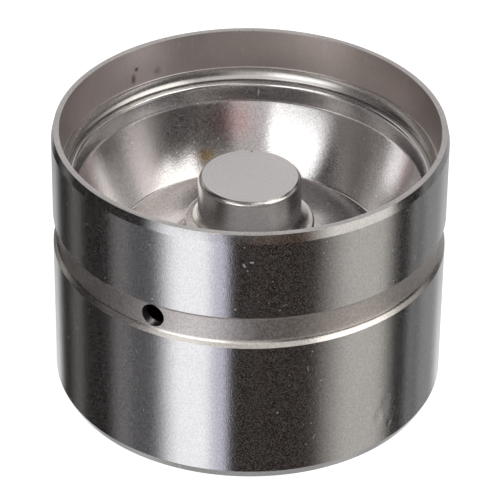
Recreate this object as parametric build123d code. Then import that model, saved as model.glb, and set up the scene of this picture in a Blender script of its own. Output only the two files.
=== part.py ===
from build123d import *
import math
import os

# Hydraulic bucket tappet, standing on its cam face with the open end up.
# Millimetres. The origin is the centre of the cam face and +Z is the axis,
# towards the open end and the valve stem.

# Bucket housing: outside
OUTER_RADIUS = 17.5
HEIGHT = 25.5
CROWN_CHAMFER_RADIAL = 0.41
CROWN_CHAMFER_AXIAL = 0.85
RIM_LEAD_RADIAL = 0.19
RIM_LEAD_AXIAL = 0.84
GROOVE_LOW_EDGE = 14.04
GROOVE_HIGH_EDGE = 17.14
GROOVE_DEPTH = 0.45
OIL_HOLE_RADIUS = 1.08
OIL_HOLE_HEIGHT = 15.62
OIL_HOLE_ANGLE = 241.4

# Bucket housing: inside
CROWN_THICKNESS = 3.0
CROWN_CORNER_ROUND = 1.5
SKIRT_BORE_RADIUS = 16.25
RIM_BORE_RADIUS = 16.79
RIM_BORE_FOOT_RADIUS = 16.64
RIM_BORE_DEPTH = 3.73
LEDGE_RADIUS = 16.55
LEDGE_LIP_RADIUS = 16.42
LEDGE_LIP_DEPTH = 4.45
LEDGE_FOOT_DEPTH = 4.95
LEDGE_ROUND = 0.3
OIL_RECESS_WIDTH = 2.4
OIL_RECESS_DEPTH = 0.5
OIL_RECESS_REACH = 7.5

# Guide web: one pressed sheet, given by its face on the open side
SHEET = 0.7
WEB_EDGE_DEPTH = 5.2
FLANGE_DEPTH = 6.65
FLANGE_BEND = 0.8
WALL_BENDS = [(14.97, 17.54), (14.06, 15.82), (13.03, 14.16)]
WALL_BEND_ROUND = 7.0
FLOOR_RADIUS = 12.2
FLOOR_HEIGHT = 13.0
FLOOR_BEND = 0.3
SLEEVE_BEND = 1.6
SLEEVE_CLEARANCE = 0.05
SLEEVE_END_HEIGHT = 7.3
SHEET_EDGE_ROUND = 0.15

# Pressure cylinder
CYLINDER_RADIUS = 5.8
CYLINDER_END_HEIGHT = 5.8
CYLINDER_END_CHAMFER = 0.3
SHOULDER_HEIGHT = 15.9
SHOULDER_ROUND = 0.2
BOSS_RADIUS = 4.62
BOSS_HEIGHT = 20.37
BOSS_FOOT_ROUND = 0.95
BOSS_EDGE_ROUND = 0.47
CHAMBER_RADIUS = 4.2
CHAMBER_END_HEIGHT = 15.6
CHAMBER_CORNER_ROUND = 0.45

# Retaining ring: flat wire, split
RING_INNER_RADIUS = 5.5
RING_OUTER_RADIUS = 6.4
RING_THICKNESS = 0.7
RING_GROOVE_PLAY = 0.03
RING_STOP_GAP = 0.02
RING_SPLIT_WIDTH = 1.5

# Plunger
PLUNGER_CLEARANCE = 0.03
PLUNGER_HEIGHT = 6.4
PLUNGER_EDGE_CHAMFER = 0.25
RESERVOIR_RADIUS = 3.0
SEAT_WALL = 1.8
VALVE_HOLE_RADIUS = 0.9
SEAT_CONE_DEPTH = 0.4

# Check valve
BALL_RADIUS = 1.5
BALL_WIRE_RADIUS = 0.1
BALL_SPRING_RADIUS = 0.75
BALL_SPRING_TURNS = 3
CAP_SHEET = 0.25
CAP_FLANGE_RADIUS = 3.9
CAP_BORE_RADIUS = 1.8
CAP_TOP_ABOVE_PLUNGER = 3.2
CAP_TOP_HOLE_RADIUS = 0.45
CAP_BEND = 0.3
CAP_EDGE_ROUND = 0.05
CAP_WINDOWS = 3
CAP_WINDOW_WIDTH = 0.9
CAP_WINDOW_HEIGHT = 1.1

# Return spring: round wire with ground ends
RETURN_WIRE_RADIUS = 0.4
RETURN_SPRING_RADIUS = 3.2
RETURN_SPRING_TURNS = 4
RETURN_GROUND_DEPTH = 0.25

# Heights that follow from the sizes above
PLUNGER_TOP = CROWN_THICKNESS + PLUNGER_HEIGHT
SEAT_ANGLE = math.radians(45.0)
BALL_HEIGHT = (
    PLUNGER_TOP
    - (VALVE_HOLE_RADIUS + SEAT_CONE_DEPTH - BALL_RADIUS * math.cos(SEAT_ANGLE))
    + BALL_RADIUS * math.sin(SEAT_ANGLE)
)
CAP_TOP = PLUNGER_TOP + CAP_TOP_ABOVE_PLUNGER
RETURN_SEAT = PLUNGER_TOP + CAP_SHEET
RING_TOP = SLEEVE_END_HEIGHT - RING_STOP_GAP
RING_BOTTOM = RING_TOP - RING_THICKNESS


def turned(points, rounds):
    """Revolve a closed outline of (radius, height) points, with (radius, height, size) corners rounded."""
    section = make_face(Polyline(*points, close=True))
    for radius, height, size in rounds:
        corner = section.vertices().sort_by_distance((radius, height))[0]
        section = fillet(corner, size)
    return revolve(Plane.XZ * section, Axis.Z)


def pressed(path, sheet, edge_round):
    """Revolve a sheet laid on the left of a (radius, height) path, with its two cut edges rounded."""
    section = make_face(offset(path, amount=sheet, side=Side.LEFT))
    cuts = section.edges().filter_by(lambda edge: math.isclose(edge.length, sheet, rel_tol=1e-6))
    section = fillet(cuts.vertices(), edge_round)
    return revolve(Plane.XZ * section, Axis.Z)


def coil(radius, wire_radius, low, high, turns):
    """Helical wire whose centre line climbs from low to high."""
    line = Pos(0, 0, low) * Helix(pitch=(high - low) / turns, height=high - low, radius=radius)
    wire = Plane(origin=line @ 0, z_dir=line % 0) * Circle(wire_radius)
    return sweep(wire, path=line, is_frenet=True)


def bucket_housing():
    """Crown and skirt in one piece, with oil groove, oil hole and the turned ledge above the web."""
    inner_corner = (SKIRT_BORE_RADIUS, CROWN_THICKNESS, CROWN_CORNER_ROUND)
    lip = (LEDGE_LIP_RADIUS, HEIGHT - LEDGE_LIP_DEPTH, LEDGE_ROUND)
    outline = [
        (0, 0),
        (OUTER_RADIUS - CROWN_CHAMFER_RADIAL, 0),
        (OUTER_RADIUS, CROWN_CHAMFER_AXIAL),
        (OUTER_RADIUS, GROOVE_LOW_EDGE),
        (OUTER_RADIUS - GROOVE_DEPTH, GROOVE_LOW_EDGE + GROOVE_DEPTH),
        (OUTER_RADIUS - GROOVE_DEPTH, GROOVE_HIGH_EDGE - GROOVE_DEPTH),
        (OUTER_RADIUS, GROOVE_HIGH_EDGE),
        (OUTER_RADIUS, HEIGHT - RIM_LEAD_AXIAL),
        (OUTER_RADIUS - RIM_LEAD_RADIAL, HEIGHT),
        (RIM_BORE_RADIUS, HEIGHT),
        (RIM_BORE_FOOT_RADIUS, HEIGHT - RIM_BORE_DEPTH),
        (LEDGE_RADIUS, HEIGHT - RIM_BORE_DEPTH),
        (LEDGE_LIP_RADIUS, HEIGHT - LEDGE_LIP_DEPTH),
        (SKIRT_BORE_RADIUS, HEIGHT - LEDGE_FOOT_DEPTH),
        (SKIRT_BORE_RADIUS, CROWN_THICKNESS),
        (0, CROWN_THICKNESS),
    ]
    housing = turned(outline, [inner_corner, lip])
    drill = Rot(0, 90, 0) * Cylinder(OIL_HOLE_RADIUS, OUTER_RADIUS)
    housing -= Pos(0, 0, OIL_HOLE_HEIGHT) * Rot(0, 0, OIL_HOLE_ANGLE) * Pos(OUTER_RADIUS, 0, 0) * drill
    recess = extrude(SlotCenterPoint((0, 0), (OIL_RECESS_REACH, 0), OIL_RECESS_WIDTH), OIL_RECESS_DEPTH)
    housing -= Pos(0, 0, CROWN_THICKNESS - OIL_RECESS_DEPTH) * recess
    return housing


def guide_web():
    """Pressed web: edge flange in the skirt, slightly hollow cone wall, flat floor and guide sleeve."""
    flange_radius = SKIRT_BORE_RADIUS - SHEET
    sleeve_radius = CYLINDER_RADIUS + SLEEVE_CLEARANCE
    wall_rounds = [WALL_BEND_ROUND] * len(WALL_BENDS)
    path = FilletPolyline(
        (flange_radius, HEIGHT - WEB_EDGE_DEPTH),
        (flange_radius, HEIGHT - FLANGE_DEPTH),
        *WALL_BENDS,
        (FLOOR_RADIUS, FLOOR_HEIGHT),
        (sleeve_radius, FLOOR_HEIGHT),
        (sleeve_radius, SLEEVE_END_HEIGHT),
        radius=[FLANGE_BEND, *wall_rounds, FLOOR_BEND, SLEEVE_BEND],
    )
    return pressed(path, SHEET, SHEET_EDGE_ROUND)


def pressure_cylinder():
    """Stepped cup whose closed end is the valve-stem face, with a groove for the retaining ring."""
    groove_low = RING_BOTTOM - RING_GROOVE_PLAY
    groove_high = RING_TOP + RING_GROOVE_PLAY
    outline = [
        (0, CHAMBER_END_HEIGHT),
        (CHAMBER_RADIUS, CHAMBER_END_HEIGHT),
        (CHAMBER_RADIUS, CYLINDER_END_HEIGHT),
        (CYLINDER_RADIUS - CYLINDER_END_CHAMFER, CYLINDER_END_HEIGHT),
        (CYLINDER_RADIUS, CYLINDER_END_HEIGHT + CYLINDER_END_CHAMFER),
        (CYLINDER_RADIUS, groove_low),
        (RING_INNER_RADIUS, groove_low),
        (RING_INNER_RADIUS, groove_high),
        (CYLINDER_RADIUS, groove_high),
        (CYLINDER_RADIUS, SHOULDER_HEIGHT),
        (BOSS_RADIUS, SHOULDER_HEIGHT),
        (BOSS_RADIUS, BOSS_HEIGHT),
        (0, BOSS_HEIGHT),
    ]
    rounds = [
        (CHAMBER_RADIUS, CHAMBER_END_HEIGHT, CHAMBER_CORNER_ROUND),
        (CYLINDER_RADIUS, SHOULDER_HEIGHT, SHOULDER_ROUND),
        (BOSS_RADIUS, SHOULDER_HEIGHT, BOSS_FOOT_ROUND),
        (BOSS_RADIUS, BOSS_HEIGHT, BOSS_EDGE_ROUND),
    ]
    return turned(outline, rounds)


def retaining_ring():
    """Split ring that grips the cylinder's groove and stops against the end of the sleeve."""
    flat = Circle(RING_OUTER_RADIUS) - Circle(RING_INNER_RADIUS)
    flat -= Pos(RING_OUTER_RADIUS, 0) * Rectangle(RING_OUTER_RADIUS, RING_SPLIT_WIDTH)
    return Pos(0, 0, RING_BOTTOM) * extrude(flat, RING_THICKNESS)


def plunger():
    """Cup that stands on the crown, with its oil reservoir below and the valve seat in its top wall."""
    radius = CHAMBER_RADIUS - PLUNGER_CLEARANCE
    outline = [
        (RESERVOIR_RADIUS, CROWN_THICKNESS),
        (radius - PLUNGER_EDGE_CHAMFER, CROWN_THICKNESS),
        (radius, CROWN_THICKNESS + PLUNGER_EDGE_CHAMFER),
        (radius, PLUNGER_TOP - PLUNGER_EDGE_CHAMFER),
        (radius - PLUNGER_EDGE_CHAMFER, PLUNGER_TOP),
        (VALVE_HOLE_RADIUS + SEAT_CONE_DEPTH, PLUNGER_TOP),
        (VALVE_HOLE_RADIUS, PLUNGER_TOP - SEAT_CONE_DEPTH),
        (VALVE_HOLE_RADIUS, PLUNGER_TOP - SEAT_WALL),
        (RESERVOIR_RADIUS, PLUNGER_TOP - SEAT_WALL),
    ]
    return turned(outline, [])


def check_ball():
    """Ball of the non-return valve, on its seat."""
    return Pos(0, 0, BALL_HEIGHT) * Sphere(BALL_RADIUS)


def ball_cap():
    """Pressed cap that cages the ball, with a hole in its top and windows in its wall for the oil."""
    path = FilletPolyline(
        (CAP_TOP_HOLE_RADIUS, CAP_TOP),
        (CAP_BORE_RADIUS, CAP_TOP),
        (CAP_BORE_RADIUS, PLUNGER_TOP),
        (CAP_FLANGE_RADIUS, PLUNGER_TOP),
        radius=[CAP_BEND, CAP_BEND],
    )
    cap = pressed(path, CAP_SHEET, CAP_EDGE_ROUND)
    window = Pos(CAP_BORE_RADIUS, 0, 0) * Box(CAP_BORE_RADIUS, CAP_WINDOW_WIDTH, CAP_WINDOW_HEIGHT)
    middle = (PLUNGER_TOP + CAP_TOP) / 2
    for step in range(CAP_WINDOWS):
        cap -= Pos(0, 0, middle) * Rot(0, 0, step * 360 / CAP_WINDOWS) * window
    return cap


def ball_spring():
    """Small spring between the ball and the top of its cap."""
    reach = BALL_RADIUS + BALL_WIRE_RADIUS
    low = BALL_HEIGHT + math.sqrt(reach**2 - BALL_SPRING_RADIUS**2)
    return coil(BALL_SPRING_RADIUS, BALL_WIRE_RADIUS, low, CAP_TOP - BALL_WIRE_RADIUS, BALL_SPRING_TURNS)


def return_spring():
    """Spring between the cap's flange and the closed end of the cylinder, with ground ends."""
    inset = RETURN_WIRE_RADIUS - RETURN_GROUND_DEPTH
    low = RETURN_SEAT + inset
    high = CHAMBER_END_HEIGHT - inset
    spring = coil(RETURN_SPRING_RADIUS, RETURN_WIRE_RADIUS, low, high, RETURN_SPRING_TURNS)
    between_seats = Cylinder(CHAMBER_RADIUS, CHAMBER_END_HEIGHT - RETURN_SEAT)
    return spring & (Pos(0, 0, (RETURN_SEAT + CHAMBER_END_HEIGHT) / 2) * between_seats)


PIECES = {
    "bucket_housing": bucket_housing,
    "guide_web": guide_web,
    "pressure_cylinder": pressure_cylinder,
    "retaining_ring": retaining_ring,
    "plunger": plunger,
    "check_ball": check_ball,
    "ball_cap": ball_cap,
    "ball_spring": ball_spring,
    "return_spring": return_spring,
}

os.makedirs("parts", exist_ok=True)
for name, make in PIECES.items():
    export_step(make(), f"parts/{name}.step")
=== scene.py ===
import math

import bmesh
import bpy
from mathutils import Matrix, Vector


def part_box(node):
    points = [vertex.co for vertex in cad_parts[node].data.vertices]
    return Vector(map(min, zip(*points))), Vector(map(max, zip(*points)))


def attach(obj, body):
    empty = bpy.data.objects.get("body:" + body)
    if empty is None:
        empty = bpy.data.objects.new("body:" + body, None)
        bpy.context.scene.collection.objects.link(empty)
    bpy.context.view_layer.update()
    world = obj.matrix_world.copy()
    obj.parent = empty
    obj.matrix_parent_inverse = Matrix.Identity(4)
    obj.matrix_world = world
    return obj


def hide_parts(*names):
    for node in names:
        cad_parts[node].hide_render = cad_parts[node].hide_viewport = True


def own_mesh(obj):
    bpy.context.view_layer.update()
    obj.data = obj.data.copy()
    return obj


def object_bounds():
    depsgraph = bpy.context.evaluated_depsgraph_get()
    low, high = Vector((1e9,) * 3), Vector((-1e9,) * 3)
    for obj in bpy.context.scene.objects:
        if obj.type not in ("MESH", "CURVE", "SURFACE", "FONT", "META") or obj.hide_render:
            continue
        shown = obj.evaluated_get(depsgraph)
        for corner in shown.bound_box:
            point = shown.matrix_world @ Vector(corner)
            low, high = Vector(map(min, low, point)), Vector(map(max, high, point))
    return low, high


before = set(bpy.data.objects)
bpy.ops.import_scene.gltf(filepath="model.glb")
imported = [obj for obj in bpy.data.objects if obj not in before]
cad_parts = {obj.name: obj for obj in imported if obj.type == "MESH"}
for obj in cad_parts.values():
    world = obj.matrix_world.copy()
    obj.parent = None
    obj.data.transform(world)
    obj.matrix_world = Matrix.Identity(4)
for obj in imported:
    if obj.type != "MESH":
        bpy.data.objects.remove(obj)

# Dimensions are in millimetres, in the frame of the part, and become metres through MM.
MM = 0.001
SEGMENTS = 540
ARC_STEPS = 6
LONG_ARC_STEPS = 40
LONG_ARC_RADIUS = 10.0
SHARP_DEGREES = 24.0
SHORTEST_MITRE = 0.3

cad_low, cad_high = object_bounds()

OUTER_RADIUS = cad_high.x / MM
HEIGHT = cad_high.z / MM

# Radii of the small rounds on turned edges
KEEN_EDGE = 0.03
FINE_EDGE = 0.04
TURNED_EDGE = 0.05
WORN_EDGE = 0.06
SOFT_EDGE = 0.08

# Bucket housing: outside
CROWN_CHAMFER_RADIAL = 0.41
CROWN_CHAMFER_AXIAL = 0.85
RIM_LEAD_RADIAL = 0.19
RIM_LEAD_AXIAL = 0.84
GROOVE_LOW_EDGE = 14.04
GROOVE_HIGH_EDGE = 17.14
GROOVE_DEPTH = 0.45
GROOVE_FOOT_ROUND = 0.7
OIL_HOLE_RADIUS = 1.08
OIL_HOLE_HEIGHT = 15.62
OIL_HOLE_ANGLE = math.radians(241.4)
DRILL_LENGTH = 6.0
DRILL_SIDES = 96

# Bucket housing: inside, where the ledge falls in an arc to a thin lip over the sheet's edge
CROWN_THICKNESS = 3.0
CROWN_CORNER_ROUND = 1.5
SKIRT_BORE_RADIUS = 16.25
RIM_BORE_RADIUS = 16.79
RIM_BORE_FOOT_RADIUS = 16.64
LEDGE_RADIUS = 16.55
LEDGE_DEPTH = 3.73
LEDGE_FALL_RADIUS = 16.54
LEDGE_FALL_DEPTH = 4.24
LEDGE_FALL_ROUND = 1.25
LIP_RADIUS = 16.10
LIP_DEPTH = 4.75
LIP_FOOT_DEPTH = 4.85

# Limits between the finishes of the bucket housing: the radius past which a face is an outer one, the
# depth of the rim's face, and the play round the other limits
OUTSIDE_RADIUS = 16.9
RIM_FACE_DEPTH = 0.03
HAIR = 0.01

# Guide web
SHEET = 0.7
WEB_EDGE_DEPTH = 4.87
WEB_EDGE_ROUND = 0.35
WEB_EDGE_BACK_ROUND = 0.08
FLANGE_DEPTH = 6.65
FLANGE_BEND = 0.8
WALL_BEND_RADIUS = 14.18
WALL_BEND_HEIGHT = 15.75
WALL_BEND = 28.0
FLOOR_RADIUS = 12.2
FLOOR_HEIGHT = 13.0
FLOOR_BEND = 0.3
SLEEVE_RADIUS = 5.85
SLEEVE_BEND = 1.6
SLEEVE_END_HEIGHT = 7.3
SLEEVE_END_ROUND = 0.1

# Pressure cylinder
CYLINDER_RADIUS = 5.8
CYLINDER_END_HEIGHT = 5.8
CYLINDER_END_CHAMFER = 0.3
SHOULDER_HEIGHT = 15.9
SHOULDER_ROUND = 0.2
BOSS_RADIUS = 4.62
BOSS_FOOT_ROUND = 0.95
BOSS_HEIGHT = 20.37
BOSS_EDGE_DEPTH = 0.25
BOSS_EDGE_ROUND = 0.5
BOSS_FACE_RADIUS = 4.25
BOSS_FACE_EDGE = 0.02
CHAMBER_RADIUS = 4.2
CHAMBER_END_HEIGHT = 15.6
CHAMBER_CORNER_ROUND = 0.45
RING_GROOVE_RADIUS = 5.5
RING_GROOVE_LOW = 6.55
RING_GROOVE_HIGH = 7.31

# Springs: mean radius, wire radius, turns, and how far the wire is ground off at each end
RETURN_SPRING = (3.2, 0.4, 4, 0.25)
BALL_SPRING = (0.75, 0.1, 3, 0.0)
WIRE_SIDES = 20
STEPS_PER_TURN = 72


# Mesh helpers


def rounded(points, closed=True):
    """Outline of (radius, height) with an arc at each (radius, height, size) corner."""
    made = []
    count = len(points)
    for i, point in enumerate(points):
        here = Vector(point[:2])
        size = point[2] if len(point) > 2 else 0.0
        at_end = not closed and i in (0, count - 1)
        if size == 0.0 or at_end:
            made.append(here)
            continue
        before = (Vector(points[i - 1][:2]) - here).normalized()
        after = (Vector(points[(i + 1) % count][:2]) - here).normalized()
        half = before.angle(after) / 2
        centre = here + (before + after).normalized() * (size / math.sin(half))
        reach = size / math.tan(half)
        start = here + before * reach - centre
        end = here + after * reach - centre
        sweep = start.angle_signed(end)
        steps = LONG_ARC_STEPS if size > LONG_ARC_RADIUS else ARC_STEPS
        for step in range(steps + 1):
            turn = Matrix.Rotation(-sweep * step / steps, 2)
            made.append(centre + turn @ start)
    return made


def offset_line(line, distance):
    """The line moved to its left by distance."""
    moved = []
    for i, here in enumerate(line):
        before = line[max(i - 1, 0)]
        after = line[min(i + 1, len(line) - 1)]
        ahead = (after - here).normalized() if i < len(line) - 1 else (here - before).normalized()
        behind = (here - before).normalized() if i > 0 else ahead
        along = (ahead + behind).normalized()
        stretch = 1.0 / max(along.dot(ahead), SHORTEST_MITRE)
        moved.append(here + Vector((-along.y, along.x)) * distance * stretch)
    return moved


def smooth(obj):
    """Smooth shading, with sharp edges at corners and flat faces kept flat beside small rounds."""
    mesh = obj.data
    work = bmesh.new()
    work.from_mesh(mesh)
    for face in work.faces:
        face.smooth = True
    for edge in work.edges:
        if len(edge.link_faces) == 2:
            edge.smooth = edge.calc_face_angle() < math.radians(SHARP_DEGREES)
    work.to_mesh(mesh)
    work.free()
    modifier = obj.modifiers.new("flat_faces", "WEIGHTED_NORMAL")
    modifier.mode = "FACE_AREA"
    modifier.keep_sharp = True


def add_object(name, mesh):
    obj = bpy.data.objects.new(name, mesh)
    bpy.context.scene.collection.objects.link(obj)
    return obj


def finished(name, work):
    """Object from a bmesh, with its faces turned outward."""
    bmesh.ops.recalc_face_normals(work, faces=work.faces)
    mesh = bpy.data.meshes.new(name)
    work.to_mesh(mesh)
    work.free()
    return add_object(name, mesh)


def lathe(name, outline):
    """Closed surface of revolution about Z from a closed outline of (radius, height) in millimetres."""
    work = bmesh.new()
    rings = []
    for radius, height in outline:
        if radius == 0.0:
            rings.append([work.verts.new((0.0, 0.0, height * MM))])
            continue
        ring = []
        for step in range(SEGMENTS):
            angle = 2 * math.pi * step / SEGMENTS
            place = (radius * math.cos(angle) * MM, radius * math.sin(angle) * MM, height * MM)
            ring.append(work.verts.new(place))
        rings.append(ring)
    count = len(rings)
    for i, ring in enumerate(rings):
        other = rings[(i + 1) % count]
        if len(ring) == 1 and len(other) == 1:
            continue
        for step in range(SEGMENTS):
            after = (step + 1) % SEGMENTS
            if len(ring) == 1:
                work.faces.new((ring[0], other[step], other[after]))
            elif len(other) == 1:
                work.faces.new((ring[step], ring[after], other[0]))
            else:
                work.faces.new((ring[step], ring[after], other[after], other[step]))
    return finished(name, work)


def coil(name, shape, low, high):
    """Helical wire between two heights in millimetres; shape says how far its ends are ground flat."""
    radius, wire_radius, turns, ground = shape
    first = low + wire_radius - ground
    pitch = (high - low - 2 * (wire_radius - ground)) / turns
    climb = pitch / (2 * math.pi * radius)
    work = bmesh.new()
    rings = []
    for step in range(turns * STEPS_PER_TURN + 1):
        angle = 2 * math.pi * step / STEPS_PER_TURN
        outward = Vector((math.cos(angle), math.sin(angle), 0.0))
        ahead = Vector((-math.sin(angle), math.cos(angle), climb)).normalized()
        upward = outward.cross(ahead)
        middle = outward * radius + Vector((0.0, 0.0, first + pitch * step / STEPS_PER_TURN))
        ring = []
        for side in range(WIRE_SIDES):
            turn = 2 * math.pi * side / WIRE_SIDES
            place = middle + (outward * math.cos(turn) + upward * math.sin(turn)) * wire_radius
            place.z = min(max(place.z, low), high)
            ring.append(work.verts.new(place * MM))
        rings.append(ring)
    for ring, other in zip(rings, rings[1:]):
        for side in range(WIRE_SIDES):
            after = (side + 1) % WIRE_SIDES
            work.faces.new((ring[side], ring[after], other[after], other[side]))
    work.faces.new(rings[0])
    work.faces.new(rings[-1])
    return finished(name, work)


def cut(obj, tool):
    """Take tool's volume out of obj, then remove the tool."""
    modifier = obj.modifiers.new("cut", "BOOLEAN")
    modifier.operation = "DIFFERENCE"
    modifier.solver = "EXACT"
    modifier.object = tool
    bpy.context.view_layer.update()
    graph = bpy.context.evaluated_depsgraph_get()
    mesh = bpy.data.meshes.new_from_object(obj.evaluated_get(graph))
    obj.modifiers.clear()
    obj.data = mesh
    bpy.data.objects.remove(tool)


# Node helpers

# Stretch that leaves a pattern as it is
EVEN = (1.0, 1.0, 1.0)
# Share of a mark's half length, half width or radius that is solid before it fades
STROKE_LENGTH_CORE = 0.6
STROKE_WIDTH_CORE = 0.4
SPOT_CORE = 0.3


def new_material(name):
    material = bpy.data.materials.new(name)
    material.use_nodes = True
    tree = material.node_tree
    return material, tree, tree.nodes["Principled BSDF"]


def node(tree, kind, **values):
    """Add a node; values go to its properties, and to its inputs where the name is one."""
    made = tree.nodes.new(kind)
    for key, value in values.items():
        label = key.replace("_", " ")
        if hasattr(made, key):
            setattr(made, key, value)
        else:
            made.inputs[label].default_value = value
    return made


def feed(tree, sockets, values):
    """Give each socket its value: a link for another node's output, a default for a number."""
    for socket, value in zip(sockets, values):
        if isinstance(value, bpy.types.NodeSocket):
            tree.links.new(value, socket)
        elif value is not None:
            socket.default_value = value


def math_node(tree, operation, first, second=None, third=None):
    made = tree.nodes.new("ShaderNodeMath")
    made.operation = operation
    feed(tree, made.inputs, (first, second, third))
    return made.outputs[0]


def vector_node(tree, operation, first, second=None, third=None):
    made = tree.nodes.new("ShaderNodeVectorMath")
    made.operation = operation
    feed(tree, made.inputs, (first, second, third))
    return made.outputs["Value" if operation in ("LENGTH", "DISTANCE", "DOT_PRODUCT") else "Vector"]


def ramp(tree, value, from_low, from_high, to_low=0.0, to_high=1.0, soft=True):
    """value carried from one range to another, held at the ends."""
    made = node(tree, "ShaderNodeMapRange", interpolation_type="SMOOTHSTEP" if soft else "LINEAR")
    feed(tree, made.inputs, (value, from_low, from_high, to_low, to_high))
    return made.outputs[0]


def above(tree, value, limit, edge):
    """1 where value is above limit, with a soft edge."""
    return ramp(tree, value, limit - edge / 2, limit + edge / 2)


def below(tree, value, limit, edge):
    """1 where value is below limit, with a soft edge."""
    return ramp(tree, value, limit - edge / 2, limit + edge / 2, 1.0, 0.0)


def window(tree, value, low, high, soft_low, soft_high):
    """1 where value is between low and high, with soft edges."""
    rise = above(tree, value, low, soft_low)
    fall = below(tree, value, high, soft_high)
    return math_node(tree, "MULTIPLY", rise, fall)


def blend(tree, share, first, second):
    """Colour between first and second."""
    made = node(tree, "ShaderNodeMix", data_type="RGBA")
    feed(tree, (made.inputs[0], made.inputs[6], made.inputs[7]), (share, first, second))
    return made.outputs[2]


def millimetres(tree):
    """Place on the part in millimetres."""
    place = node(tree, "ShaderNodeTexCoord")
    made = node(tree, "ShaderNodeVectorMath", operation="SCALE", Scale=1.0 / MM)
    tree.links.new(place.outputs["Object"], made.inputs[0])
    return made.outputs[0]


def unrolled(tree, place):
    """Place on the skirt laid flat: millimetres round from the front, and height."""
    split = node(tree, "ShaderNodeSeparateXYZ")
    tree.links.new(place, split.inputs[0])
    back = math_node(tree, "MULTIPLY", split.outputs[1], -1.0)
    turn = math_node(tree, "ARCTAN2", split.outputs[0], back)
    flat = node(tree, "ShaderNodeCombineXYZ")
    feed(tree, flat.inputs, (math_node(tree, "MULTIPLY", turn, OUTER_RADIUS), split.outputs[2]))
    return flat.outputs[0]


def noise(tree, place, size, detail=3.0, stretch=EVEN):
    """Noise whose features are about size millimetres, drawn out by stretch."""
    scaled = vector_node(tree, "MULTIPLY", place, stretch)
    made = node(tree, "ShaderNodeTexNoise", Scale=1.0 / size, Detail=detail, Roughness=0.6)
    tree.links.new(scaled, made.inputs["Vector"])
    return made.outputs["Fac"]


def strokes(tree, flat, cell, share, half_length, half_width):
    """1 on short straight marks, one at most in each cell of the flat place, turned at random."""
    cells = node(tree, "ShaderNodeTexVoronoi", voronoi_dimensions="2D", Scale=1.0 / cell)
    tree.links.new(flat, cells.inputs["Vector"])
    chance = node(tree, "ShaderNodeSeparateColor")
    tree.links.new(cells.outputs["Color"], chance.inputs[0])
    local = vector_node(tree, "SUBTRACT", flat, cells.outputs["Position"])
    turned = node(tree, "ShaderNodeVectorRotate", rotation_type="Z_AXIS")
    tree.links.new(local, turned.inputs["Vector"])
    tree.links.new(math_node(tree, "MULTIPLY", chance.outputs[0], math.pi), turned.inputs["Angle"])
    split = node(tree, "ShaderNodeSeparateXYZ")
    tree.links.new(turned.outputs[0], split.inputs[0])
    along = math_node(tree, "ABSOLUTE", split.outputs[0])
    aside = math_node(tree, "ABSOLUTE", split.outputs[1])
    inside = math_node(
        tree, "MULTIPLY",
        ramp(tree, along, half_length * STROKE_LENGTH_CORE, half_length, 1.0, 0.0),
        ramp(tree, aside, half_width * STROKE_WIDTH_CORE, half_width, 1.0, 0.0),
    )
    there = math_node(tree, "LESS_THAN", chance.outputs[1], share)
    return math_node(tree, "MULTIPLY", inside, there)


def specks(tree, place, cell, share, radius):
    """1 on small round spots, one at most in each cell, present in the given share of the cells."""
    cells = node(tree, "ShaderNodeTexVoronoi", Scale=1.0 / cell)
    tree.links.new(place, cells.inputs["Vector"])
    chance = node(tree, "ShaderNodeSeparateColor")
    tree.links.new(cells.outputs["Color"], chance.inputs[0])
    away = math_node(tree, "MULTIPLY", cells.outputs["Distance"], cell)
    inside = ramp(tree, away, radius * SPOT_CORE, radius, 1.0, 0.0)
    return math_node(tree, "MULTIPLY", inside, math_node(tree, "LESS_THAN", chance.outputs[1], share))


def spot(tree, place, centre, radius, stretch):
    """1 at centre, falling to 0 at radius millimetres; stretch above 1 narrows it along that axis."""
    away = vector_node(tree, "MULTIPLY", vector_node(tree, "SUBTRACT", place, centre), stretch)
    return ramp(tree, vector_node(tree, "LENGTH", away), 0.0, radius, 1.0, 0.0)


def scratch(tree, flat, start, end, half_width, strength):
    """A mask of the given strength on the straight line between two flat places."""
    run = (end[0] - start[0], end[1] - start[1], 0.0)
    local = vector_node(tree, "SUBTRACT", flat, (*start, 0.0))
    reach = vector_node(tree, "DOT_PRODUCT", local, run)
    share = ramp(tree, reach, 0.0, run[0] ** 2 + run[1] ** 2, soft=False)
    foot = vector_node(tree, "MULTIPLY", run, share)
    away = vector_node(tree, "DISTANCE", local, foot)
    return ramp(tree, away, half_width * SPOT_CORE, half_width, strength, 0.0)


def turning_rings(tree, place):
    """Faint rings about the axis, left by the lapping of the face."""
    radius = vector_node(tree, "LENGTH", vector_node(tree, "MULTIPLY", place, (1.0, 1.0, 0.0)))
    made = node(tree, "ShaderNodeTexNoise", noise_dimensions="1D", Scale=4.0, Detail=2.0)
    tree.links.new(radius, made.inputs["W"])
    return ramp(tree, made.outputs["Fac"], 0.4, 0.65)


def any_of(tree, masks):
    """The strongest of several masks."""
    total = masks[0]
    for mask in masks[1:]:
        total = math_node(tree, "MAXIMUM", total, mask)
    return total


# Steel finishes

# Sizes in millimetres of the slow patches, the changes of sheen and the fine grain
PATCH_SIZE = 4.0
SHEEN_SIZE = 0.25
GRAIN_SIZE = 0.18
# Ranges of the noise over which grain and sheen change, and the ends of the sheen as shares of the
# roughness
GRAIN_RANGE = (0.36, 0.64)
SHEEN_RANGE = (0.3, 0.7)
SHEEN_ENDS = (0.88, 1.12)
# Steel where it is scratched
MARK_ROUGHNESS = 0.62
MARK_TONE = (0.82, 0.81, 0.80, 1.0)


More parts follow.
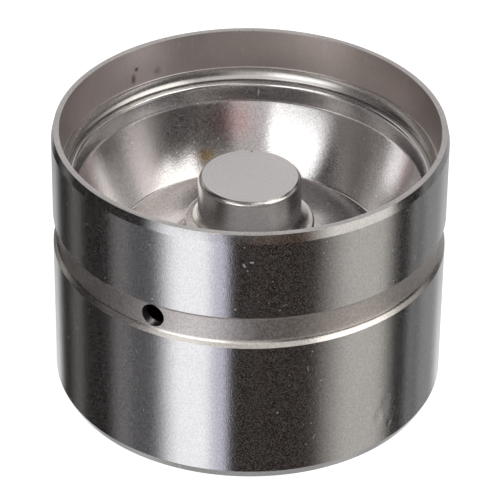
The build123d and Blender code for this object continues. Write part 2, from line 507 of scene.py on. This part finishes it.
def steel(
    name, colour, roughness, lay=0.0, patchy=0.05, grain=0.0, relief=(), marks=None, stains=(), dents=(),
):
    """Bare steel.

    lay is the share of the grain that runs round the axis, grain how far the tone of one point strays
    and how much of the light it scatters as matte metal does, relief lists (size, height, stretch) of the
    surface in millimetres, marks makes a mask of bright scratches, stains lists (mask, colour) makers and
    dents (mask, depth) makers.
    """
    material, tree, shader = new_material(name)
    shader.inputs["Metallic"].default_value = 1.0
    if lay > 0.0:
        shader.inputs["Anisotropic"].default_value = lay
        shader.inputs["Anisotropic Rotation"].default_value = 0.25
        around = node(tree, "ShaderNodeTangent", direction_type="RADIAL", axis="Z")
        tree.links.new(around.outputs[0], shader.inputs["Tangent"])
    place = millimetres(tree)
    slow = noise(tree, place, PATCH_SIZE)
    dark = (*[c * (1.0 - patchy) for c in colour], 1.0)
    light = (*[min(c * (1.0 + patchy), 1.0) for c in colour], 1.0)
    tone = blend(tree, slow, dark, light)
    for mask, tint in stains:
        tone = blend(tree, mask(tree, place), tone, (*tint, 1.0))
    if grain > 0.0:
        fine = noise(tree, place, GRAIN_SIZE, 2.0)
        bright = ramp(tree, fine, *GRAIN_RANGE, 1.0, 1.0 - grain, soft=False)
        tree.links.new(bright, shader.inputs["Metallic"])
        stray = ramp(tree, fine, *GRAIN_RANGE, 1.0 - grain, 1.0 + grain, soft=False)
        tone = vector_node(tree, "MULTIPLY", tone, stray)
    sheen = [roughness * share for share in SHEEN_ENDS]
    rough = ramp(tree, noise(tree, place, SHEEN_SIZE), *SHEEN_RANGE, *sheen, soft=False)
    if marks is not None:
        mask = marks(tree, place)
        rough = ramp(tree, mask, 0.0, 1.0, rough, MARK_ROUGHNESS, soft=False)
        tone = blend(tree, mask, tone, MARK_TONE)
    tree.links.new(tone, shader.inputs["Base Color"])
    tree.links.new(rough, shader.inputs["Roughness"])
    normal = None
    heights = [
        math_node(tree, "MULTIPLY", noise(tree, place, size, 2.0, stretch), height)
        for size, height, stretch in relief
    ]
    heights += [math_node(tree, "MULTIPLY", mask(tree, place), -depth) for mask, depth in dents]
    for height in heights:
        bump = node(tree, "ShaderNodeBump", Strength=1.0, Distance=MM)
        tree.links.new(height, bump.inputs["Height"])
        if normal is not None:
            tree.links.new(normal, bump.inputs["Normal"])
        normal = bump.outputs[0]
    if normal is not None:
        tree.links.new(normal, shader.inputs["Normal"])
    return material


# Scratches and pecks seen on the front of the skirt: start and end as millimetres round from the
# front and height, half the width, and strength.
SKIRT_SCRATCHES = (
    ((0.15, 22.87), (0.37, 22.87), 0.10, 0.9),
    ((-0.43, 22.64), (-0.31, 22.42), 0.10, 0.9),
    ((-0.39, 24.35), (-0.35, 24.35), 0.09, 0.7),
    ((0.25, 18.96), (1.29, 20.14), 0.07, 0.22),
    ((0.87, 18.87), (0.91, 18.87), 0.09, 0.4),
    ((-1.13, 18.05), (-1.09, 18.05), 0.10, 0.9),
    ((2.91, 18.31), (3.26, 18.43), 0.08, 0.5),
    ((2.66, 17.91), (2.70, 17.91), 0.10, 0.9),
    ((1.70, 11.50), (2.05, 10.80), 0.06, 0.35),
    ((2.62, 7.18), (2.68, 7.16), 0.10, 0.9),
)


def skirt_marks(tree, place):
    """Handling scratches and specks on the ground skirt."""
    flat = unrolled(tree, place)
    return any_of(tree, [
        strokes(tree, flat, cell=1.1, share=0.07, half_length=0.08, half_width=0.05),
        strokes(tree, flat, cell=3.7, share=0.14, half_length=0.30, half_width=0.03),
        specks(tree, place, cell=0.45, share=0.025, radius=0.05),
        *[scratch(tree, flat, *each) for each in SKIRT_SCRATCHES],
    ])


def bore_marks(tree, place):
    """Rubbed streaks that run down the bore wall."""
    drawn_out = (1.0, 0.25, 1.0)
    flat = vector_node(tree, "MULTIPLY", unrolled(tree, place), drawn_out)
    streak = noise(tree, flat, size=0.5, detail=2.0)
    return ramp(tree, streak, from_low=0.62, from_high=0.80, to_high=0.35)


def web_marks(tree, place):
    """White specks on the pressed sheet, and a burr on its edge at the back."""
    return any_of(tree, [
        specks(tree, place, cell=0.9, share=0.10, radius=0.10),
        specks(tree, place, cell=0.35, share=0.06, radius=0.05),
        spot(tree, place, *SHEET_BURR),
    ])


# Single marks: centre, radius and stretch as spot takes them, then the depth or colour of most of them.
SHEET_BURR = ((0.7, 15.55, 19.7), 0.6, (5.0, 1.0, 1.0))
SKIRT_DENTS = (
    ((11.55, -13.15, 3.75), 0.75, (1.0, 1.0, 0.6), 0.016),
    ((12.55, -12.20, 2.50), 0.45, EVEN, 0.012),
    ((12.15, -12.60, 4.60), 0.85, (1.0, 1.0, 0.5), 0.009),
)
BORE_STAINS = (
    ((-10.49, 13.01, 23.45), 0.34, EVEN, (0.10, 0.06, 0.04)),
    ((-10.76, 12.74, 22.55), 0.42, (1.0, 1.0, 0.5), (0.22, 0.15, 0.11)),
    ((-8.6, 14.2, 22.6), 0.6, EVEN, (0.40, 0.33, 0.29)),
)
WEB_STAINS = (
    ((-4.0, 12.5, 14.6), 1.3, (1.0, 1.0, 1.2), (0.62, 0.47, 0.24)),
    ((-1.7, 14.5, 17.2), 3.2, EVEN, (0.62, 0.46, 0.45)),
)
BOSS_FACE_NICK = ((0.13, 4.1, BOSS_HEIGHT), 0.22, EVEN, (0.25, 0.24, 0.24))


def placed(centre, radius, stretch, value):
    """Maker of a spot mask, and the depth or colour that goes with it."""
    def mask(tree, place):
        return spot(tree, place, centre, radius, stretch)

    return mask, value


GROUND = steel(
    "ground_steel", (0.60, 0.60, 0.605), 0.16, lay=0.8, patchy=0.06, grain=0.09,
    relief=((0.11, 0.0042, (1.0, 1.0, 0.6)),),
    marks=skirt_marks,
    dents=[placed(*dent) for dent in SKIRT_DENTS],
)
RIM = steel(
    "rim_steel", (0.52, 0.50, 0.49), 0.30, patchy=0.22, grain=0.08,
    relief=((0.2, 0.010, EVEN),),
)
BORE = steel(
    "bored_steel", (0.61, 0.555, 0.535), 0.32, patchy=0.16, grain=0.04,
    relief=((0.9, 0.009, (1.0, 1.0, 0.4)),),
    marks=bore_marks,
    stains=[placed(*stain) for stain in BORE_STAINS],
)
GROOVE = steel(
    "grooved_steel", (0.60, 0.565, 0.55), 0.40, grain=0.14,
    relief=((0.14, 0.004, EVEN),),
)
GROOVE_FOOT = steel(
    "groove_foot", (0.61, 0.585, 0.56), 0.24, lay=0.4, grain=0.08,
    relief=((0.14, 0.006, EVEN),),
)
LEDGE = steel(
    "turned_ledge", (0.53, 0.515, 0.50), 0.25, grain=0.05,
    relief=((0.4, 0.002, EVEN),),
)
PRESSED = steel(
    "pressed_steel", (0.60, 0.585, 0.585), 0.16, grain=0.15,
    relief=((0.50, 0.0020, EVEN), (0.17, 0.0042, EVEN)),
    marks=web_marks,
    stains=[placed(*stain) for stain in WEB_STAINS],
)
TURNED = steel(
    "turned_steel", (0.57, 0.555, 0.545), 0.20, lay=0.3, grain=0.09,
    relief=((0.15, 0.004, EVEN),),
)
LAPPED = steel(
    "lapped_steel", (0.71, 0.695, 0.69), 0.36, patchy=0.03, grain=0.04,
    relief=((0.1, 0.002, EVEN),),
    stains=[(turning_rings, (0.68, 0.665, 0.66)), placed(*BOSS_FACE_NICK)],
)
WIRE = steel("spring_wire", (0.40, 0.40, 0.42), 0.3)
BALL = steel("ball_steel", (0.70, 0.70, 0.72), 0.08)


def give(obj, *materials):
    """Give obj these materials and no others."""
    obj.data.materials.clear()
    for material in materials:
        obj.data.materials.append(material)


def give_by_place(obj, materials, choose):
    """Give obj the materials, and each face the one chosen for its middle's radius and height."""
    give(obj, *materials)
    for face in obj.data.polygons:
        middle = face.center
        radius = math.hypot(middle.x, middle.y) / MM
        face.material_index = materials.index(choose(radius, middle.z / MM))


# Pieces


def bucket_finish(radius, height):
    """Steel of the bucket housing at a radius and height."""
    outside = radius > OUTSIDE_RADIUS
    in_groove = GROOVE_LOW_EDGE - FINE_EDGE < height < GROOVE_HIGH_EDGE + FINE_EDGE
    on_foot = GROOVE_LOW_EDGE < height < GROOVE_LOW_EDGE + GROOVE_DEPTH
    on_fall = HEIGHT - LIP_FOOT_DEPTH - HAIR < height < HEIGHT - LEDGE_DEPTH - HAIR
    if height > HEIGHT - RIM_FACE_DEPTH and radius > RIM_BORE_RADIUS:
        return RIM
    if on_foot and radius > OUTER_RADIUS - GROOVE_DEPTH + HAIR:
        return GROOVE_FOOT
    if height < CROWN_THICKNESS - HAIR or (outside and not in_groove):
        return GROUND
    if outside:
        return GROOVE
    if on_fall and radius < LEDGE_RADIUS + HAIR:
        return LEDGE
    return BORE


def bucket():
    """Crown and skirt with groove, oil hole, thin rim, and the turned ledge with its lip inside."""
    outline = rounded([
        (0, 0),
        (OUTER_RADIUS - CROWN_CHAMFER_RADIAL, 0, TURNED_EDGE),
        (OUTER_RADIUS, CROWN_CHAMFER_AXIAL, WORN_EDGE),
        (OUTER_RADIUS, GROOVE_LOW_EDGE, FINE_EDGE),
        (OUTER_RADIUS - GROOVE_DEPTH, GROOVE_LOW_EDGE + GROOVE_DEPTH, GROOVE_FOOT_ROUND),
        (OUTER_RADIUS - GROOVE_DEPTH, GROOVE_HIGH_EDGE - GROOVE_DEPTH, SOFT_EDGE),
        (OUTER_RADIUS, GROOVE_HIGH_EDGE, FINE_EDGE),
        (OUTER_RADIUS, HEIGHT - RIM_LEAD_AXIAL, TURNED_EDGE),
        (OUTER_RADIUS - RIM_LEAD_RADIAL, HEIGHT, TURNED_EDGE),
        (RIM_BORE_RADIUS, HEIGHT, FINE_EDGE),
        (RIM_BORE_FOOT_RADIUS, HEIGHT - LEDGE_DEPTH, KEEN_EDGE),
        (LEDGE_RADIUS, HEIGHT - LEDGE_DEPTH, FINE_EDGE),
        (LEDGE_FALL_RADIUS, HEIGHT - LEDGE_FALL_DEPTH, LEDGE_FALL_ROUND),
        (LIP_RADIUS, HEIGHT - LIP_DEPTH, TURNED_EDGE),
        (SKIRT_BORE_RADIUS, HEIGHT - LIP_FOOT_DEPTH),
        (SKIRT_BORE_RADIUS, CROWN_THICKNESS, CROWN_CORNER_ROUND),
        (0, CROWN_THICKNESS),
    ])
    obj = lathe("bucket_skirt", outline)
    bpy.ops.mesh.primitive_cylinder_add(
        vertices=DRILL_SIDES, radius=OIL_HOLE_RADIUS * MM, depth=DRILL_LENGTH * MM,
    )
    drill = bpy.context.object
    away = Vector((math.cos(OIL_HOLE_ANGLE), math.sin(OIL_HOLE_ANGLE), 0.0))
    drill.rotation_mode = "QUATERNION"
    drill.rotation_quaternion = away.to_track_quat("Z", "Y")
    drill.location = away * (OUTER_RADIUS * MM) + Vector((0, 0, OIL_HOLE_HEIGHT * MM))
    cut(obj, drill)
    give_by_place(obj, (GROUND, BORE, GROOVE, LEDGE, RIM, GROOVE_FOOT), bucket_finish)
    smooth(obj)
    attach(obj, "housing")
    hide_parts("bucket_housing")
    return obj


def web():
    """Pressed sheet: edge flange, slightly hollow cone wall, floor and guide sleeve."""
    flange = SKIRT_BORE_RADIUS - SHEET
    line = rounded([
        (flange, HEIGHT - WEB_EDGE_DEPTH),
        (flange, HEIGHT - FLANGE_DEPTH, FLANGE_BEND),
        (WALL_BEND_RADIUS, WALL_BEND_HEIGHT, WALL_BEND),
        (FLOOR_RADIUS, FLOOR_HEIGHT, FLOOR_BEND),
        (SLEEVE_RADIUS, FLOOR_HEIGHT, SLEEVE_BEND),
        (SLEEVE_RADIUS, SLEEVE_END_HEIGHT),
    ], closed=False)
    under = offset_line(line, SHEET)
    outline = [
        (*line[0], WEB_EDGE_ROUND),
        *line[1:-1],
        (*line[-1], SLEEVE_END_ROUND),
        (*under[-1], SLEEVE_END_ROUND),
        *reversed(under[1:-1]),
        (*under[0], WEB_EDGE_BACK_ROUND),
    ]
    obj = lathe("web_dish", rounded(outline))
    give(obj, PRESSED)
    smooth(obj)
    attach(obj, "housing")
    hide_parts("guide_web")
    return obj


def cylinder():
    """Stepped cup that touches the valve stem, with a groove for the retaining ring."""
    outline = rounded([
        (0, CHAMBER_END_HEIGHT),
        (CHAMBER_RADIUS, CHAMBER_END_HEIGHT, CHAMBER_CORNER_ROUND),
        (CHAMBER_RADIUS, CYLINDER_END_HEIGHT, TURNED_EDGE),
        (CYLINDER_RADIUS - CYLINDER_END_CHAMFER, CYLINDER_END_HEIGHT, TURNED_EDGE),
        (CYLINDER_RADIUS, CYLINDER_END_HEIGHT + CYLINDER_END_CHAMFER, TURNED_EDGE),
        (CYLINDER_RADIUS, RING_GROOVE_LOW, KEEN_EDGE),
        (RING_GROOVE_RADIUS, RING_GROOVE_LOW),
        (RING_GROOVE_RADIUS, RING_GROOVE_HIGH),
        (CYLINDER_RADIUS, RING_GROOVE_HIGH, KEEN_EDGE),
        (CYLINDER_RADIUS, SHOULDER_HEIGHT, SHOULDER_ROUND),
        (BOSS_RADIUS, SHOULDER_HEIGHT, BOSS_FOOT_ROUND),
        (BOSS_RADIUS, BOSS_HEIGHT - BOSS_EDGE_DEPTH, BOSS_EDGE_ROUND),
        (BOSS_FACE_RADIUS, BOSS_HEIGHT, BOSS_FACE_EDGE),
        (0, BOSS_HEIGHT),
    ])
    obj = lathe("cylinder_boss", outline)
    give_by_place(
        obj, (TURNED, LAPPED),
        lambda radius, height: LAPPED if height > BOSS_HEIGHT - BOSS_FACE_EDGE else TURNED,
    )
    smooth(obj)
    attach(obj, "cylinder")
    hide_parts("pressure_cylinder")
    return obj


def spring(name, replaced, shape):
    """Coil in the place of its CAD node, between that node's lowest and highest points, attached to the
    housing.
    """
    low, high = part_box(replaced)
    obj = coil(name, shape, low[2] / MM, high[2] / MM)
    give(obj, WIRE)
    smooth(obj)
    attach(obj, "housing")
    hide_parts(replaced)
    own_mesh(obj)
    return obj


bucket()
web()
cylinder()
spring("return_coil", "return_spring", RETURN_SPRING)
spring("ball_coil", "ball_spring", BALL_SPRING)

for name, material in (
    ("retaining_ring", WIRE),
    ("plunger", TURNED),
    ("check_ball", BALL),
    ("ball_cap", PRESSED),
):
    give(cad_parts[name], material)


# Studio

# Directions are in degrees: azimuth from the camera's side towards +X, and elevation. A stretch is
# (from, to), and its edges are the widths over which it fades at either end.

# Each card: azimuth, its edges, elevation, its edges, and colour.
CARDS = (
    ("key_low", (-50, -22), (20, 6), (-62, 0), (8, 8), (1.42, 1.42, 1.46)),
    ("key_low_edge", (-22, -12), (5, 6), (-62, 0), (8, 8), (0.80, 0.78, 0.90)),
    ("key_mid", (-53, -14), (14, 8), (6, 22), (8, 6), (1.65, 1.65, 1.65)),
    ("key_high", (-53, -14), (14, 8), (22, 39), (6, 6), (2.7, 2.7, 2.7)),
    ("key_halo", (-18, 13), (8, 10), (5, 36), (8, 8), (0.70, 0.67, 0.67)),
    ("front_mid", (10, 46), (10, 10), (6, 36), (8, 8), (0.045, 0.042, 0.042)),
    ("front_high", (-34, 36), (10, 10), (36, 53), (6, 8), (1.05, 1.03, 1.00)),
    ("left_top", (-72, -34), (10, 10), (42, 62), (8, 8), (1.25, 1.22, 1.20)),
    ("top_right", (10, 60), (12, 12), (61, 73), (6, 6), (1.80, 1.76, 1.72)),
    ("right_low", (50, 90), (30, 18), (-62, -18), (8, 8), (0.62, 0.59, 0.55)),
    ("right_mid", (38, 84), (22, 12), (-18, 8), (8, 6), (1.10, 1.04, 0.97)),
    ("right_high_near", (44, 62), (8, 6), (28.5, 62), (4, 8), (2.40, 2.34, 2.26)),
    ("right_high", (62, 92), (6, 12), (24.5, 66), (4, 8), (2.20, 2.15, 2.06)),
    ("right_far", (94, 128), (10, 14), (20, 38), (8, 8), (0.60, 0.57, 0.54)),
    ("right_back", (100, 152), (16, 14), (50, 70), (10, 8), (1.05, 0.98, 0.90)),
    ("right_strip", (108, 117), (6, 6), (-62, 20), (8, 8), (0.22, 0.22, 0.22)),
    ("right_rear", (120, 152), (12, 16), (-50, 4), (16, 12), (0.30, 0.30, 0.30)),
    ("left_fill", (-87, -73), (8, 6), (-62, -22), (8, 8), (0.19, 0.18, 0.18)),
    ("left_dim", (-73, -56), (6, 6), (-62, -22), (8, 8), (0.10, 0.10, 0.11)),
    ("left_strip", (-128, -115), (12, 8), (-62, 20), (8, 8), (0.14, 0.135, 0.13)),
    ("left_back", (-150, -122), (12, 12), (10, 30), (8, 8), (0.60, 0.59, 0.58)),
    ("left_behind", (-150, -120), (10, 12), (34, 56), (8, 10), (0.80, 0.79, 0.78)),
    ("left_high", (-92, -66), (10, 10), (12, 44), (8, 16), (0.15, 0.145, 0.145)),
    ("warm_edge", (2, 36), (14, 6), (-20, 2), (6, 6), (0.05, 0.025, 0.012)),
)
# Bands of light that run round the back: elevation, its edges, azimuth to either side at which the band
# starts, its edge, and colour.
BANDS = (
    ("horizon", (3, 15), (5, 5), 140, 24, (1.6, 1.57, 1.54)),
    ("under", (-66, -50), (14, 10), 100, 20, (0.38, 0.375, 0.37)),
    ("behind", (20, 56), (12, 14), 148, 24, (0.74, 0.73, 0.73)),
)
# The white backdrop as the metal shows it: elevation, its edges and how much of the white is seen.
BACKDROP = (
    ((-50, -34), (16, 6), 0.52),
    ((-50, 20), (16, 12), 0.46),
)
BACKDROP_FROM = 150
BACKDROP_EDGE = 18
# The room's dim light all round, and the light at its top and bottom, which start at an elevation with
# an edge.
SURROUND = (0.0120, 0.0095, 0.0085)
ZENITH = (64, 12)
ZENITH_COLOUR = (0.26, 0.25, 0.25)
NADIR = (-62, 16)
NADIR_COLOUR = (0.42, 0.415, 0.41)
# A faint warm stretch in front, broken into upright stripes.
FRONT = (-12, 48)
FRONT_EDGES = (8, 24)
FRONT_COLOUR = (0.0160, 0.0080, 0.0040)
STRIPES_PER_DEGREE = 0.22
STRIPE_RANGE = (0.35, 0.65)
STRIPE_BRIGHTNESS = 1.6
WHITE = (1.0, 1.0, 1.0, 1.0)


def add_light(tree, total, mask, colour):
    """total plus colour where mask is 1."""
    return vector_node(tree, "MULTIPLY_ADD", mask, colour, total)


def studio_light(tree, azimuth, turned_away, elevation):
    """Colour of the studio in each direction, without the backdrop's white."""
    total = SURROUND
    for _, across, side_edges, upright, edges, colour in CARDS:
        mask = math_node(
            tree, "MULTIPLY",
            window(tree, azimuth, *across, *side_edges),
            window(tree, elevation, *upright, *edges),
        )
        total = add_light(tree, total, mask, colour)
    stripes = node(
        tree, "ShaderNodeTexNoise", noise_dimensions="1D",
        Scale=STRIPES_PER_DEGREE, Detail=3.0, Roughness=0.6,
    )
    tree.links.new(azimuth, stripes.inputs["W"])
    front = math_node(
        tree, "MULTIPLY",
        window(tree, azimuth, *FRONT, *FRONT_EDGES),
        ramp(tree, stripes.outputs["Fac"], *STRIPE_RANGE, 0.0, STRIPE_BRIGHTNESS, soft=False),
    )
    total = add_light(tree, total, front, FRONT_COLOUR)
    for _, upright, edges, start, edge, colour in BANDS:
        mask = math_node(
            tree, "MULTIPLY",
            above(tree, turned_away, start, edge),
            window(tree, elevation, *upright, *edges),
        )
        total = add_light(tree, total, mask, colour)
    total = add_light(tree, total, above(tree, elevation, *ZENITH), ZENITH_COLOUR)
    return add_light(tree, total, below(tree, elevation, *NADIR), NADIR_COLOUR)


def studio_world():
    """White to the camera; to the metal a studio of soft cards, with a share of the white behind."""
    world = bpy.data.worlds.new("studio")
    bpy.context.scene.world = world
    world.use_nodes = True
    tree = world.node_tree
    tree.nodes.clear()
    place = node(tree, "ShaderNodeTexCoord")
    split = node(tree, "ShaderNodeSeparateXYZ")
    tree.links.new(place.outputs["Generated"], split.inputs[0])
    x, y, z = split.outputs
    to_degrees = 180.0 / math.pi
    back = math_node(tree, "MULTIPLY", y, -1.0)
    azimuth = math_node(tree, "MULTIPLY", math_node(tree, "ARCTAN2", x, back), to_degrees)
    elevation = math_node(tree, "MULTIPLY", math_node(tree, "ARCSINE", z), to_degrees)
    turned_away = math_node(tree, "ABSOLUTE", azimuth)

    light = node(tree, "ShaderNodeBackground")
    tree.links.new(studio_light(tree, azimuth, turned_away, elevation), light.inputs["Color"])
    white = node(tree, "ShaderNodeBackground", Color=WHITE)
    backdrop = 0.0
    for upright, edges, share in BACKDROP:
        part = window(tree, elevation, *upright, *edges)
        backdrop = math_node(tree, "MULTIPLY_ADD", part, share, backdrop)
    behind = above(tree, turned_away, BACKDROP_FROM, BACKDROP_EDGE)
    path = node(tree, "ShaderNodeLightPath")
    mirrored = math_node(
        tree, "MAXIMUM",
        path.outputs["Is Glossy Ray"],
        path.outputs["Is Transmission Ray"],
    )
    seen = math_node(tree, "MULTIPLY", mirrored, math_node(tree, "MULTIPLY", backdrop, behind))
    mix = node(tree, "ShaderNodeMixShader")
    tree.links.new(math_node(tree, "MAXIMUM", path.outputs["Is Camera Ray"], seen), mix.inputs[0])
    tree.links.new(light.outputs[0], mix.inputs[1])
    tree.links.new(white.outputs[0], mix.inputs[2])
    out = node(tree, "ShaderNodeOutputWorld")
    tree.links.new(mix.outputs[0], out.inputs["Surface"])


# The floor: its width in metres, the light that it gives and the tone that takes the shadow, which the
# camera alone sees, and its tone for all other light.
FLOOR_WIDTH = 4.0
FLOOR_GLOW = 0.86
FLOOR_SHADOW_TONE = (0.5, 0.5, 0.5, 1.0)
FLOOR_TONE = (0.8, 0.8, 0.8, 1.0)


def studio_floor():
    """Pale floor at the cam face, white to the camera, with the object's shadow on it."""
    bpy.ops.mesh.primitive_plane_add(size=FLOOR_WIDTH)
    floor = bpy.context.object
    floor.name = "floor"
    floor.visible_glossy = False
    material = bpy.data.materials.new("floor_white")
    material.use_nodes = True
    tree = material.node_tree
    tree.nodes.clear()
    glow = node(tree, "ShaderNodeEmission", Color=WHITE, Strength=FLOOR_GLOW)
    cloth = node(tree, "ShaderNodeBsdfDiffuse", Color=FLOOR_SHADOW_TONE)
    both = node(tree, "ShaderNodeAddShader")
    tree.links.new(glow.outputs[0], both.inputs[0])
    tree.links.new(cloth.outputs[0], both.inputs[1])
    plain = node(tree, "ShaderNodeBsdfDiffuse", Color=FLOOR_TONE)
    path = node(tree, "ShaderNodeLightPath")
    mix = node(tree, "ShaderNodeMixShader")
    tree.links.new(path.outputs["Is Camera Ray"], mix.inputs[0])
    tree.links.new(plain.outputs[0], mix.inputs[1])
    tree.links.new(both.outputs[0], mix.inputs[2])
    out = node(tree, "ShaderNodeOutputMaterial")
    tree.links.new(mix.outputs[0], out.inputs["Surface"])
    floor.data.materials.append(material)


def add_camera():
    """Camera at the photograph's viewing angle, in metres and radians."""
    elevation = math.radians(33.67)
    roll = 0.0129
    distance = 0.2927
    centre = Vector((0.0, 0.0, 0.01277))
    forward = Vector((0.0, math.cos(elevation), -math.sin(elevation)))
    side = Vector((1.0, 0.0, 0.0))
    up = Vector((0.0, math.sin(elevation), math.cos(elevation)))
    right = side * math.cos(roll) + up * math.sin(roll)
    top = up * math.cos(roll) - side * math.sin(roll)
    data = bpy.data.cameras.new("camera")
    data.lens = 234.63
    data.sensor_width = 36.0
    data.shift_x = 0.0019
    data.shift_y = -0.0056
    data.clip_start = 0.01
    data.clip_end = 10.0
    camera = add_object("camera", data)
    turn = Matrix((right, top, -forward)).transposed().to_4x4()
    camera.matrix_world = Matrix.Translation(centre - forward * distance) @ turn
    bpy.context.scene.camera = camera


studio_world()
studio_floor()
add_camera()
bpy.context.scene.view_settings.view_transform = "Standard"
